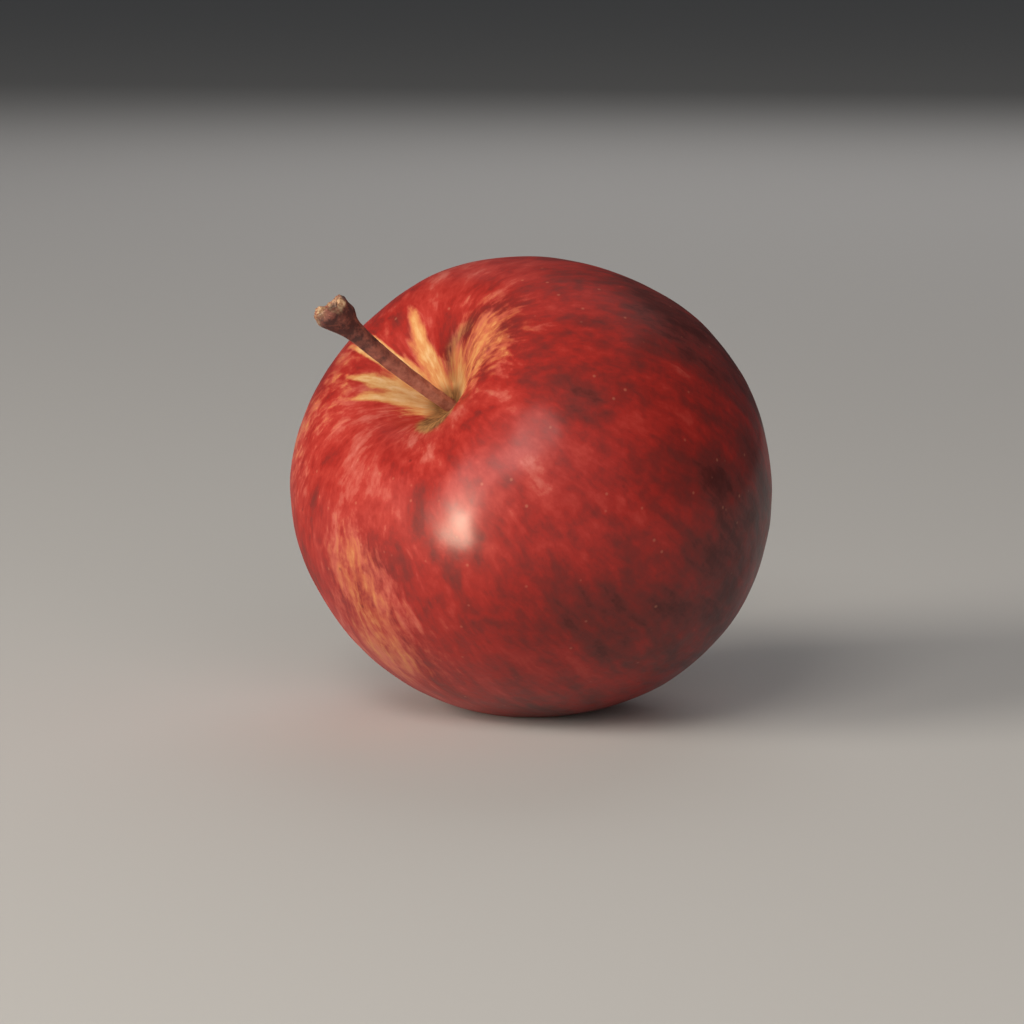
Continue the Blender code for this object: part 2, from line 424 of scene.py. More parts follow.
    def coloured(self, tree: NodeTree, place: NodeSocket,
                 patterns: dict[str, NodeSocket]) -> tuple[NodeSocket, NodeSocket]:
        """Colour of the skin: a red flush, a yellow ground between its streaks, russet cork and specks.

        Args:
            tree: the node tree.
            place: the object coordinates.
            patterns: each pattern's socket by its name.

        Returns:
            The colour, and the pores' mask for the bump.
        """
        tints = reader(tree, Attribute.TINTS).outputs["Vector"]
        # The dark tint holds painted shade as well as the flush's own darker patches, and the russet tint
        # holds painted shade in the crease.
        yellow, dark, russet = add(tree, "ShaderNodeSeparateXYZ", {0: tints}).outputs
        red = add(tree, "ShaderNodeValToRGB", {"Fac": self.share_of(tree, self.red_mix, patterns, dark)})
        set_stops(red, [(0.0, self.cherry), (0.12, self.maroon), (0.3, self.wine), (0.5, self.crimson),
                        (0.7, self.scarlet), (0.86, self.coral), (1.0, self.blush)])
        gold = self.share_of(tree, self.ground_mix, patterns, yellow)
        ground = add(tree, "ShaderNodeValToRGB", {"Fac": gold})
        set_stops(ground, [(0.05, self.salmon), (0.3, self.amber), (0.52, self.ochre), (0.74, self.straw),
                           (0.95, self.cream)])
        bare = self.share_of(tree, self.bare_mix, patterns, yellow)
        skin = blend(tree, bare, red.outputs["Color"], ground.outputs["Color"])
        uncracked = self.share_of(tree, self.crack_mix, patterns)
        cork = blend(tree, uncracked, linear(self.russet_crack), linear(self.russet))
        corky = self.share_of(tree, self.corky_mix, patterns, russet)
        return self.specked(tree, place, blend(tree, corky, skin, cork))

    def specked(self, tree: NodeTree, place: NodeSocket, skin: NodeSocket) -> tuple[NodeSocket, NodeSocket]:
        """Add pale pores and a few dark flecks.

        Args:
            tree: the node tree.
            place: the object coordinates.
            skin: the colour so far.

        Returns:
            The specked colour, and the pores' mask for the bump.
        """
        masks = []
        for specks in (self.pores, self.flecks):
            scale = per_metre(specks.spacing_mm)
            away = add(tree, "ShaderNodeTexVoronoi", {"Vector": place, "Scale": scale}).outputs["Distance"]
            reach = specks.radius_mm / specks.spacing_mm
            dot = add(tree, "ShaderNodeMapRange", {"Value": away, "From Min": 1.3 * reach,
                                                   "From Max": 0.3 * reach, "To Max": specks.depth},
                      interpolation_type="SMOOTHSTEP")
            masks.append(dot.outputs["Result"])
            skin = blend(tree, masks[-1], skin, linear(specks.colour))
        return skin, masks[0]

    def wax(self, tree: NodeTree, shader: Node, mottle: NodeSocket) -> None:
        """Wax the skin: polished where the fruit is handled, and dull down in the cavity.

        Args:
            tree: the node tree.
            shader: the Principled shader.
            mottle: the mottling, which varies the roughness.
        """
        rough = add(tree, "ShaderNodeMapRange", {"Value": mottle, "From Min": 0.3, "From Max": 0.7,
                                                 "To Min": self.roughness[0], "To Max": self.roughness[1]})
        wax = reader(tree, Attribute.WAX).outputs["Fac"]
        smooth = add(tree, "ShaderNodeMath", {0: wax, 1: -self.wax_smoothing, 2: rough.outputs["Result"]},
                     operation="MULTIPLY_ADD")
        tree.links.new(smooth.outputs[0], shader.inputs["Roughness"])
        polish = add(tree, "ShaderNodeMath", {0: wax, 1: self.coat}, operation="MULTIPLY")
        tree.links.new(polish.outputs[0], shader.inputs["Coat Weight"])
        shader.inputs["Specular IOR Level"].default_value = self.specular
        shader.inputs["IOR"].default_value = self.ior
        shader.inputs["Coat Roughness"].default_value = self.coat_roughness
        shader.inputs["Coat IOR"].default_value = self.coat_ior


@dataclass(frozen=True)
class StalkBark:
    """Bark of a dried fruit stalk: matt, finely ridged, with a pale torn end."""

    dark: str = "#4C2B28"
    brown: str = "#9E5C4C"
    warm: str = "#C6846E"
    # Near black painted shade in the torn end's hollow.
    hollow: str = "#2B1613"
    torn: str = "#A87A58"
    cream: str = "#D9B48C"
    grain_mm: float = 1.4
    fibre_mm: float = 0.45
    grain_height: float = 0.12
    fibre_height: float = 0.08
    knob_darkening: float = 0.36
    roughness: float = 0.6

    def material(self) -> Material:
        """Build the bark's material.

        Returns:
            The material.
        """
        made, tree, shader = blank_material("dried_stalk_bark")
        place = add(tree, "ShaderNodeTexCoord").outputs["Object"]
        wear = reader(tree, Attribute.WEAR).outputs["Vector"]
        torn, near_knob, hollow = add(tree, "ShaderNodeSeparateXYZ", {0: wear}).outputs
        grain = noise_at(tree, place, self.grain_mm, 5.0, 0.65).outputs["Fac"]
        fibre = noise_at(tree, place, self.fibre_mm, 3.0, 0.6).outputs["Fac"]
        level = add(tree, "ShaderNodeMath", {0: near_knob, 1: -self.knob_darkening, 2: grain},
                    operation="MULTIPLY_ADD").outputs[0]
        ramp = add(tree, "ShaderNodeValToRGB", {"Fac": level})
        set_stops(ramp, [(0.1, self.dark), (0.38, self.brown), (0.66, self.warm)])
        pale = add(tree, "ShaderNodeValToRGB", {"Fac": fibre})
        set_stops(pale, [(0.32, self.brown), (0.44, self.torn), (0.62, self.cream)])
        bark = blend(tree, torn, ramp.outputs["Color"], pale.outputs["Color"])
        # Painted shade in the torn end's hollow middle.
        colour = blend(tree, hollow, bark, linear(self.hollow))
        tree.links.new(colour, shader.inputs["Base Color"])
        shader.inputs["Roughness"].default_value = self.roughness
        normal = bump_from(tree, [(grain, self.grain_height), (fibre, self.fibre_height)])
        tree.links.new(normal, shader.inputs["Normal"])
        return made


@dataclass(frozen=True)
class DrySepal:
    """Withered sepal: papery, brown with a grey down, dull all over."""

    dark: str = "#3E2A1A"
    brown: str = "#75563A"
    down: str = "#B8A482"
    grain_mm: float = 0.9
    grain_height: float = 0.15
    roughness: float = 0.85

    def material(self) -> Material:
        """Build the sepals' material.

        Returns:
            The material.
        """
        made, tree, shader = blank_material("withered_sepal")
        place = add(tree, "ShaderNodeTexCoord").outputs["Object"]
        grain = noise_at(tree, place, self.grain_mm, 6.0, 0.7).outputs["Fac"]
        ramp = add(tree, "ShaderNodeValToRGB", {"Fac": grain})
        set_stops(ramp, [(0.3, self.dark), (0.5, self.brown), (0.72, self.down)])
        tree.links.new(ramp.outputs["Color"], shader.inputs["Base Color"])
        shader.inputs["Roughness"].default_value = self.roughness
        tree.links.new(bump_from(tree, [(grain, self.grain_height)]), shader.inputs["Normal"])
        return made


@dataclass(frozen=True)
class PaleFloor:
    """Plain pale matt floor."""

    colour: str = "#C6C6C4"
    roughness: float = 0.9

    def material(self) -> Material:
        """Build the floor's material.

        Returns:
            The material.
        """
        made, tree, shader = blank_material("plain_pale_floor")
        shader.inputs["Base Color"].default_value = linear(self.colour)
        shader.inputs["Roughness"].default_value = self.roughness
        return made


def on_ball(azimuth: float, polar: float) -> Vector:
    """Direction at an azimuth and an angle off the stalk end, both in degrees."""
    turn, off = math.radians(azimuth), math.radians(polar)
    return Vector((math.sin(off) * math.cos(turn), math.sin(off) * math.sin(turn), math.cos(off)))


@dataclass(frozen=True)
class Side:
    """Side of a round piece: its middle's azimuth and its half width, in degrees."""

    azimuth: float
    half_width: float

    def share(self, azimuth: float) -> float:
        """How far within the side an azimuth in radians lies, from 0 to 1."""
        return swell(angle_between(azimuth, math.radians(self.azimuth)), math.radians(self.half_width))


@dataclass(frozen=True)
class Spot:
    """Soft round spot in the skin, below nought for the opposite.

    The strength is a height in millimetres or a share of a tint. The place is in degrees and the reach in
    millimetres.
    """

    strength: float
    azimuth: float
    polar: float
    reach: float

    def at(self, point: Vector, radius: float) -> float:
        """Its strength at a point of a body of this radius."""
        away = (point - on_ball(self.azimuth, self.polar) * radius).length
        return self.strength * swell(away, self.reach)


@dataclass(frozen=True)
class Ray:
    """Ray of bare ground out of the cavity, or below nought a red tongue, in degrees and millimetres."""

    azimuth: float
    half_width: float
    length: float


@dataclass(frozen=True)
class Crease:
    """Crease in the cavity's wall, which turns from one azimuth at the floor to another at the shoulder.

    Angles are in degrees and lengths in millimetres. A pair holds the radii where a change starts and ends.
    The crease has its half width at the width radius.
    """

    floor_azimuth: float = 212.0
    shoulder_azimuth: float = 189.0
    turn: tuple[float, float] = (6.0, 11.0)
    half_width: float = 17.0
    width_radius: float = 6.0
    depth: float = 0.5
    start: tuple[float, float] = (1.5, 4.0)
    end: tuple[float, float] = (9.0, 18.0)

    def share(self, point: Vector, azimuth: float) -> float:
        """How deep in the crease a skin point lies.

        Args:
            point: the skin point, in the fruit's own frame and millimetres.
            azimuth: angle round the axis, in radians.

        Returns:
            The share of the full depth, from 0 to 1.
        """
        radius = math.hypot(point.x, point.y)
        line = self.floor_azimuth + (self.shoulder_azimuth - self.floor_azimuth) * ease(radius, *self.turn)
        # The crease keeps its width as the meridians spread.
        width = math.radians(self.half_width) * self.width_radius / max(radius, self.width_radius / 2)
        across = swell(angle_between(azimuth, math.radians(line)), width)
        return across * ease(radius, *self.start) * (1 - ease(radius, *self.end)) * (point.z > 0)


@dataclass
class Fruit:
    """The fleshy fruit, on its own axis with +Z towards the stalk, then leaned into its resting place.

    Lengths are in millimetres and angles in degrees. They are the same driving sizes that the solid has.
    """

    middle: tuple[float, float, float] = (0.3, 0.0, 34.55)
    lean: float = 49.3
    heading: float = -138.1
    turn: float = -22.9
    girth_radius: float = 37.5
    shoulder_rise: float = 35.0
    shoulder_fullness: float = 2.1
    base_drop: float = 36.0
    base_fullness: float = 2.0
    taper: float = 0.05
    oval: float = 0.054
    oval_azimuth: float = 110.0
    lobe_azimuths: tuple[float, ...] = (16, 89, 168, 236, 318)
    rib_heights: tuple[float, ...] = (1.2, 0.45, 0.85, 0.6, 0.6)
    shoulder_heights: tuple[float, ...] = (0.6, 0.6, 0.5, 0.9, 0.35)
    lobe_width: float = 24.0
    rib_middle: float = -4.0
    rib_reach: float = 26.0
    shoulder_start: float = 12.0
    shoulder_blend: float = 6.0
    shoulder_radius: float = 19.0
    shoulder_reach: float = 12.0
    cavity_depth: float = 12.2
    cavity_width: float = 9.0
    cavity_point: float = 1.6
    basin_depth: float = 6.0
    basin_width: float = 7.0
    swellings: tuple[Spot, ...] = (Spot(-2.4, 78, 18, 9), Spot(1.8, 62, 62, 12))
    swelling_radius: float = 36.0
    crease: Crease = Crease()
    # Share of yellow ground in each zone, and the zone's side and limits. A limit in millimetres is a
    # radius, and one below 1 is a share of the way from the stalk to the calyx.
    top_end: tuple[float, float] = (0.3, 0.4)
    cavity_yellow: float = 0.8
    cavity_edge: float = 9.3
    cavity_fade: tuple[float, float] = (5.0, 4.5)
    cavity_rays: tuple[Ray, ...] = (
        Ray(244, 7, 5.6), Ray(273, 1.6, 9), Ray(283, 4, 11.5), Ray(303, 5, 6.5), Ray(321, 5.5, 4.5),
        Ray(262, 4, -2.6), Ray(223, 11, -4.5), Ray(335, 6, -1.5), Ray(20, 42, -5.5), Ray(75, 30, -3.0),
        Ray(150, 40, -2.5))
    peach_yellow: float = 0.52
    peach_side: Side = Side(152, 46)
    peach_fade: tuple[float, float] = (10, 27)
    rosy_yellow: float = 0.3
    rosy_side: Side = Side(305, 48)
    rosy_start: tuple[float, float] = (9, 15)
    rosy_end: tuple[float, float] = (0.36, 0.52)
    band_yellow: float = 0.44
    band_side: Side = Side(21, 21)
    band_start: tuple[float, float] = (0.16, 0.3)
    band_end: tuple[float, float] = (0.44, 0.58)
    calyx_yellow: float = 0.55
    calyx_start: tuple[float, float] = (0.84, 0.96)
    # The flush is darker on one cheek, partly painted shade of the side away from the key lamp, darker in
    # the crease as painted shade, and darker in patches, some of them painted shade; it is lighter in
    # patches below nought.
    # Right cheek: a deeper flush together with painted shade, growing darker away from the stalk end.
    flush_and_shade_cheek: Side = Side(138, 62)
    cheek_start: tuple[float, float] = (0.2, 0.48)
    cheek_least: float = 0.3
    calyx_lightening: float = 0.6
    # Painted shade in the cavity's crease.
    crease_painted_shade: float = 0.8
    # The spots at azimuth 168 and 112 darken the right edge and the lower right, and the one at 56 darkens
    # the underside: painted shade. The others are the flush's own darker and lighter patches.
    flush_and_shade_patches: tuple[Spot, ...] = (
        Spot(0.65, 121, 51, 6), Spot(0.5, 150, 35, 7), Spot(0.7, 166, 64, 9), Spot(0.6, 80, 78, 8),
        Spot(0.5, 55, 74, 7), Spot(0.7, 92, 101, 13), Spot(0.8, 56, 104, 13), Spot(-0.7, 93, 66, 9),
        Spot(-0.4, 110, 90, 9), Spot(-0.5, 12, 78, 8), Spot(-0.6, 18, 34, 14), Spot(0.4, 73, 44, 7),
        Spot(0.8, 168, 88, 16), Spot(0.8, 112, 104, 14))
    # Russet covers the cavity's floor and climbs its near wall.
    near_wall: Side = Side(66, 38)
    russet_reach: float = 4.0
    russet_climb: float = 8.0
    russet_fade: tuple[float, float] = (3.0, 1.5)
    # Russet colour in the crease, partly painted shade.
    crease_russet_and_shade: float = 0.66
    calyx_russet: float = 0.5
    basin_start: tuple[float, float] = (0.95, 0.995)
    # The wax stays dull in the cavity, over its far shoulder, in the basin and on sides that no hand rubbed.
    cavity_dull: float = 13.0
    far_shoulder: Side = Side(245, 62)
    far_dull: float = 11.0
    basin_dull: float = 6.0
    dull_fade: tuple[float, float] = (0.4, 1.15)
    dull_sides: tuple[Side, ...] = (Side(345, 30), Side(178, 32))
    bloom: float = 0.75
    pole_spread: float = 0.35
    undulation: float = 0.22
    undulation_lengths: tuple[float, float] = (11.0, 4.5)
    short_share: float = 0.35
    meridians: int = 360
    parallels: int = 240
    finish: WaxedSkin = field(default_factory=WaxedSkin)

    def placement(self) -> Matrix:
        """Where the fruit lies.

        Returns:
            Matrix that takes the fruit's own frame, in millimetres, to the row frame in metres.
        """
        turned = (Matrix.Rotation(math.radians(self.heading), 4, "Z")
                  @ Matrix.Rotation(math.radians(self.lean), 4, "Y")
                  @ Matrix.Rotation(math.radians(self.turn), 4, "Z"))
        return Matrix.Scale(MM, 4) @ Matrix.Translation(self.middle) @ turned

    def lobes(self, azimuth: float, heights: tuple[float, ...]) -> float:
        """Height of the five lobes.

        Args:
            azimuth: angle round the axis, in radians.
            heights: height of each lobe at its middle.

        Returns:
            The height that they add there.
        """
        width = math.radians(self.lobe_width)
        return sum(height * swell(angle_between(azimuth, math.radians(centre)), width)
                   for centre, height in zip(self.lobe_azimuths, heights))

    def skin_point(self, polar: float, azimuth: float) -> Vector:
        """Point of the plain skin, as the solid has it.

        Args:
            polar: angle off the stalk end, in radians.
            azimuth: angle round the axis, in radians.

        Returns:
            The point in the fruit's own frame, in millimetres.
        """
        upper = polar <= math.pi / 2
        rise = self.shoulder_rise if upper else self.base_drop
        fullness = self.shoulder_fullness if upper else self.base_fullness
        across = (abs(math.sin(polar)) / self.girth_radius) ** fullness
        along = (abs(math.cos(polar)) / rise) ** fullness
        reach = (across + along) ** (-1 / fullness)
        radius = reach * abs(math.sin(polar))
        height = reach * math.cos(polar)
        radius *= 1 + self.taper * height / self.girth_radius
        radius *= 1 + self.oval * math.cos(2 * (azimuth - math.radians(self.oval_azimuth)))
        side = swell(height - self.rib_middle, self.rib_reach)
        radius *= 1 + side * self.lobes(azimuth, self.rib_heights) / self.girth_radius
        shoulder = swell(radius - self.shoulder_radius, self.shoulder_reach)
        shoulder /= 1 + math.exp(-(height - self.shoulder_start) / self.shoulder_blend)
        height += shoulder * self.lobes(azimuth, self.shoulder_heights)
        if upper:
            height -= self.cavity_depth * math.exp(-((radius / self.cavity_width) ** self.cavity_point))
        else:
            height += self.basin_depth * swell(radius, self.basin_width)
        point = Vector((radius * math.cos(azimuth), radius * math.sin(azimuth), height))
        lift = sum(swelling.at(point, self.swelling_radius) for swelling in self.swellings)
        return point + point.normalized() * lift

    def relief(self, point: Vector, azimuth: float) -> Vector:
        """Slow undulations of the skin, and the crease in the cavity's wall.

        Args:
            point: the plain skin point, in the fruit's own frame and millimetres.
            azimuth: angle round the axis, in radians.

        Returns:
            The point, moved along the line from the fruit's middle.
        """
        long_wave, short_wave = [noise.noise(point / length) for length in self.undulation_lengths]
        rise = self.undulation * (long_wave + self.short_share * short_wave)
        return point + point.normalized() * (rise - self.crease.depth * self.crease.share(point, azimuth))

    def bare_reach(self, angle: float) -> float:
        """Radius out to which the cavity's ochre is bare, at an azimuth in degrees."""
        rays = sum(ray.length * swell((angle - ray.azimuth + 180) % 360 - 180, ray.half_width)
                   for ray in self.cavity_rays)
        return self.cavity_edge + rays

    def tints(self, point: Vector, polar: float, azimuth: float) -> Vector:
        """Shares of yellow ground, of dark flush with painted shade, and of russet at a place on the skin.

        Args:
            point: the place, in the fruit's own frame and millimetres.
            polar: angle off the stalk end, in radians.
            azimuth: angle round the axis, in radians.

        Returns:
            The three shares. The dark one holds painted shade as well as the flush's own darkness, and is
            below nought where the flush is lighter.
        """
        radius = math.hypot(point.x, point.y)
        along = polar / math.pi
        top = 1 - ease(along, *self.top_end)
        calyx_end = ease(along, *self.calyx_start)
        in_crease = self.crease.share(point, azimuth)
        # Painted shade on the right cheek, on top of a deeper flush there.
        dark = self.flush_and_shade_cheek.share(azimuth) * (1 - self.calyx_lightening * calyx_end)
        dark *= self.cheek_least + (1 - self.cheek_least) * ease(along, *self.cheek_start)
        # Painted shade in the crease.
        dark += self.crease_painted_shade * in_crease
        # Patches of the flush, some of them painted shade on the right edge, lower right and underside.
        dark += sum(patch.at(point, self.swelling_radius) for patch in self.flush_and_shade_patches)
        floor_reach = self.russet_reach + self.russet_climb * self.near_wall.share(azimuth)
        on_floor = 1 - ease(radius, floor_reach - self.russet_fade[0], floor_reach + self.russet_fade[1])
        # The crease's russet is partly painted shade.
        russet = max(on_floor * top, self.crease_russet_and_shade * in_crease,
                     self.calyx_russet * ease(along, *self.basin_start))
        return Vector((self.yellow(radius, along, azimuth), dark, russet))

    def yellow(self, radius: float, along: float, azimuth: float) -> float:
        """Share of yellow ground at a place on the skin.

        Args:
            radius: distance from the axis, in millimetres.
            along: share of the way from the stalk to the calyx.
            azimuth: angle round the axis, in radians.

        Returns:
            The share, from 0 to 1.
        """
        top = 1 - ease(along, *self.top_end)
        edge = self.bare_reach(math.degrees(azimuth) % 360)
        in_cavity = top * (1 - ease(radius, edge - self.cavity_fade[0], edge + self.cavity_fade[1]))
        peach = top * self.peach_side.share(azimuth) * (1 - ease(radius, *self.peach_fade))
        rosy = self.rosy_side.share(azimuth) * ease(radius, *self.rosy_start)
        rosy *= 1 - ease(along, *self.rosy_end)
        band = self.band_side.share(azimuth) * ease(along, *self.band_start)
        band *= 1 - ease(along, *self.band_end)
        return max(self.cavity_yellow * in_cavity, self.peach_yellow * peach, self.rosy_yellow * rosy,
                   self.band_yellow * band, self.calyx_yellow * ease(along, *self.calyx_start))

    def polish(self, point: Vector, polar: float, azimuth: float) -> float:
        """How polished the wax is at a place on the skin.

        Args:
            point: the place, in the fruit's own frame and millimetres.
            polar: angle off the stalk end, in radians.
            azimuth: angle round the axis, in radians.

        Returns:
            The polish, from 0 deep in the cavity and the basin to 1 on the cheeks.
        """
        radius = math.hypot(point.x, point.y)
        reach = self.basin_dull
        if polar < math.pi / 2:
            reach = self.cavity_dull + self.far_dull * self.far_shoulder.share(azimuth)
        untouched = max(side.share(azimuth) for side in self.dull_sides)
        start, end = self.dull_fade
        return ease(radius, start * reach, end * reach) * (1 - self.bloom * untouched)

    def build(self) -> Object:
        """Model the skin and mark it for its material.

        Returns:
            The skin's object.
        """
        bm = bmesh.new()
        bmesh.ops.create_uvsphere(bm, u_segments=self.meridians, v_segments=self.parallels, radius=1)
        meridian = bm.verts.layers.float_vector.new(Attribute.MERIDIAN.value)
        tints = bm.verts.layers.float_vector.new(Attribute.TINTS.value)
        wax = bm.verts.layers.float.new(Attribute.WAX.value)
        placement = self.placement()
        for vertex in bm.verts:
            polar = math.acos(max(-1.0, min(1.0, vertex.co.z)))
            azimuth = math.atan2(vertex.co.y, vertex.co.x)
            point = self.skin_point(polar, azimuth)
            # Streaks keep some of their width where the meridians draw together.
            spread = self.pole_spread
            spread += (1 - self.pole_spread) * math.hypot(point.x, point.y) / self.girth_radius
            along = polar / math.pi
            vertex[meridian] = Vector((spread * math.cos(azimuth), spread * math.sin(azimuth), along))
            vertex[tints] = self.tints(point, polar, azimuth)
            vertex[wax] = self.polish(point, polar, azimuth)
            place = placement @ self.relief(point, azimuth)
            # The flesh sits flat where it rests.
            place.z = max(place.z, 0.0)
            vertex.co = place
        return finished(bm, "fruit_skin", [self.finish.material()])


@dataclass
class Stalk:
    """Woody stalk that stands in the cavity, bowed, with a flared torn end. Lengths are in millimetres."""

    run: tuple[float, float, float] = (2.7, -4.2, 26.5)
    bow: tuple[float, float, float] = (0.5, 0.5, 0.0)
    radius: float = 1.05
    thickening: float = 0.6
    knob_flare: float = 1.2
    knob_length: float = 0.13
    knob_oval: float = 0.12
    knob_bump: float = 0.45
    bump_side: Side = Side(140, 38)
    bump_place: float = 0.89
    bump_length: float = 0.035
    rim_rounding: float = 0.14
    rim_start: float = 0.965
    bark_roughness: float = 0.07
    ridge_height: float = 0.05
    end_slope: float = 0.35
    end_roughness: float = 0.35
    crumb_height: float = 0.45
    hollow_depth: float = 1.3
    tufts: tuple[Side, ...] = (Side(268, 70), Side(118, 26))
    root_depth: float = 3.0
    sides: int = 48
    rings: int = 150
    end_rings: int = 9
    finish: StalkBark = field(default_factory=StalkBark)

    def centre(self, share: float, floor: Vector) -> Vector:
        """Centreline of the stalk.

        Args:
            share: 0 at the root's end and 1 at the torn end.
            floor: the cavity's floor, where the stalk comes out.

        Returns:
            The point on the centreline.
        """
        run = Vector(self.run)
        along = share * (run.length + self.root_depth) / run.length - self.root_depth / run.length
        return floor + run * along + Vector(self.bow) * math.sin(math.pi * max(along, 0))

    def reach(self, share: float, angle: float) -> float:
        """Radius without the bark's own relief.

        Args:
            share: 0 at the root's end and 1 at the torn end.
            angle: angle round the stalk, in radians.

        Returns:
            The radius.
        """
        knob = swell(1 - share, self.knob_length)
        radius = self.radius + self.thickening * share**2 + self.knob_flare * knob
        bump = self.bump_side.share(angle) * swell(share - self.bump_place, self.bump_length)
        radius += self.knob_bump * bump
        rounding = 1 - self.rim_rounding * ease(share, self.rim_start, 1.0)
        return radius * rounding * (1 + self.knob_oval * knob * math.cos(2 * angle))

    def build(self, fruit: Fruit) -> Object:
        """Model the stalk in the fruit's cavity.

        Args:
            fruit: the fruit that it stands in.

        Returns:
            The stalk's object.
        """
        bm = rod(self.sides, self.rings)
        torn_end = max(bm.faces, key=lambda face: face.calc_center_median().z)
        for _ in range(self.end_rings):
            bmesh.ops.inset_region(bm, faces=[torn_end], thickness=0.97 / (self.end_rings + 1))
        bmesh.ops.poke(bm, faces=[torn_end])
        wear = bm.verts.layers.float_vector.new(Attribute.WEAR.value)
        floor = fruit.skin_point(0, 0)
        placement = fruit.placement()
        lean = Vector(self.run).to_track_quat("Z", "Y").to_matrix()
        for vertex in bm.verts:
            share = vertex.co.z**0.85
            angle = math.atan2(vertex.co.y, vertex.co.x)
            inward = min(1.0, math.hypot(vertex.co.x, vertex.co.y))
            vertex[wear] = self.worn(share, inward, angle)
            centre = self.centre(share, floor)
            rough = noise.noise(Vector((2.2 * math.cos(angle), 2.2 * math.sin(angle), share * 14)))
            ridges = math.sin(5 * angle + 3 * share) * 0.5 + math.sin(11 * angle - 5 * share) * 0.25
            reach = self.reach(share, angle) + self.bark_roughness * rough + self.ridge_height * ridges
            reach *= inward
            place = lean @ Vector((reach * math.cos(angle), reach * math.sin(angle), 0))
            if share > 1 - self.knob_length:
                place += lean @ Vector((0, 0, self.end_lift(share, inward, angle, reach)))
            vertex.co = placement @ (centre + place)
        bmesh.ops.recalc_face_normals(bm, faces=bm.faces)
        return finished(bm, "woody_stalk", [self.finish.material()])

    def end_lift(self, share: float, inward: float, angle: float, reach: float) -> float:
        """Height of the torn end, which is sloped, broken and hollow in its middle.

        Args:
            share: 0 at the root's end and 1 at the torn end.
            inward: 0 on the centreline and 1 at the rim.
            angle: angle round the stalk, in radians.
            reach: distance from the centreline.

        Returns:
            How far the place stands out along the stalk.
        """
        near_end = (share - 1 + self.knob_length) / self.knob_length
        torn = self.end_roughness * (math.sin(3 * angle - 0.26) + 0.3 * math.sin(7 * angle))
        grain = noise.noise(Vector((reach * math.cos(angle), reach * math.sin(angle), 3)) * 1.9)
        hollow = self.hollow_depth * ease(1 - inward, 0.15, 0.75)
        slope = self.end_slope * reach * math.cos(angle)
        return near_end**2 * (torn * inward + self.crumb_height * grain + slope - hollow)

    def worn(self, share: float, inward: float, angle: float) -> Vector:
        """Wear that the bark's material reads.

        Args:
            share: 0 at the root's end and 1 at the torn end.
            inward: 0 on the centreline and 1 at the rim.
            angle: angle round the stalk, in radians.

        Returns:
            Shares of pale torn wood, of darkening towards the knob and of painted shade in the hollow.
        """
        edge = 0.972 + 0.016 * math.sin(3 * angle) + 0.01 * math.sin(8 * angle + 1)
        torn = max(ease(share, edge - 0.01, edge + 0.015), ease(1 - inward, 0.0, 0.08))
        tuft = max(side.share(angle) for side in self.tufts)
        # Painted shade where the torn end is hollow.
        hollow = ease(1 - inward, 0.25, 0.6)
        return Vector((torn * (0.3 + 0.7 * tuft), ease(share, 0.3, 0.9), 0.9 * hollow))


